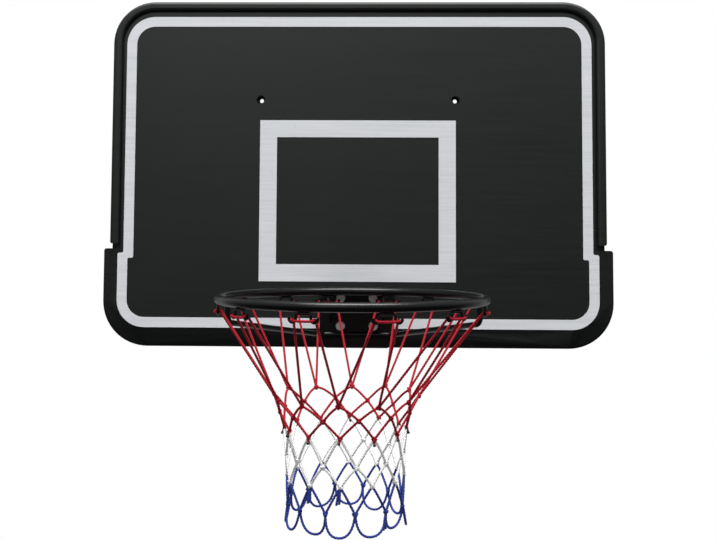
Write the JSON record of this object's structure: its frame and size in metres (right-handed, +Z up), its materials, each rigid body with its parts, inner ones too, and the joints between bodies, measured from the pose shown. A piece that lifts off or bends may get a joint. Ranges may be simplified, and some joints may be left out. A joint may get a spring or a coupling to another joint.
{
  "type": "basketball backboard",
  "caption": "Black hollow moulded backboard with a white border and target, a fixed steel ring on a braced bracket, and a knotted net in three colours on wire hooks.",
  "frame": {"origin": "midway between the two upper mounting holes, on the board's back face", "axes": "+X to the right seen from the court, +Y out of the board's back, +Z up"},
  "size_m": [1.1, 0.6744, 1.01],
  "materials": {
    "black_plastic": "satin moulded polyethylene",
    "white_line": "matt printed line",
    "black_steel": "gloss powder coat",
    "zinc_steel": "bright zinc plate",
    "red_cord": "braided cord",
    "white_cord": "braided cord",
    "blue_cord": "braided cord"
  },
  "bodies": {
    "board": {"backboard": "black_plastic", "border_stripe": "white_line", "target_stripe": "white_line", "rim_flange": "black_steel", "rim_top_plate": "black_steel", "gusset_left": "black_steel", "gusset_right": "black_steel", "rim_brace": "black_steel", "rim_ring": "black_steel", "rim_bolts": "zinc_steel", "rim_washers": "zinc_steel", "rear_washers": "zinc_steel", "rear_nuts": "zinc_steel", "rear_plate": "zinc_steel", "net_hook_01": "black_steel", "net_hook_02": "black_steel", "net_hook_03": "black_steel", "net_hook_04": "black_steel", "net_hook_05": "black_steel", "net_hook_06": "black_steel", "net_hook_07": "black_steel", "net_hook_08": "black_steel", "net_hook_09": "black_steel", "net_hook_10": "black_steel", "net_hook_11": "black_steel", "net_hook_12": "black_steel"},
    "net": {"net_red_cord": "red_cord", "net_white_cord": "white_cord", "net_blue_cord": "blue_cord"}
  },
  "joints": [
    {"name": "net_sway", "type": "hinge", "parent": "board", "child": "net", "pos_m": [0, -0.408, -0.432], "axis": [1, 0, 0], "range_deg": [-10, 10], "deforming": ["net_red_cord", "net_white_cord", "net_blue_cord"]}
  ]
}
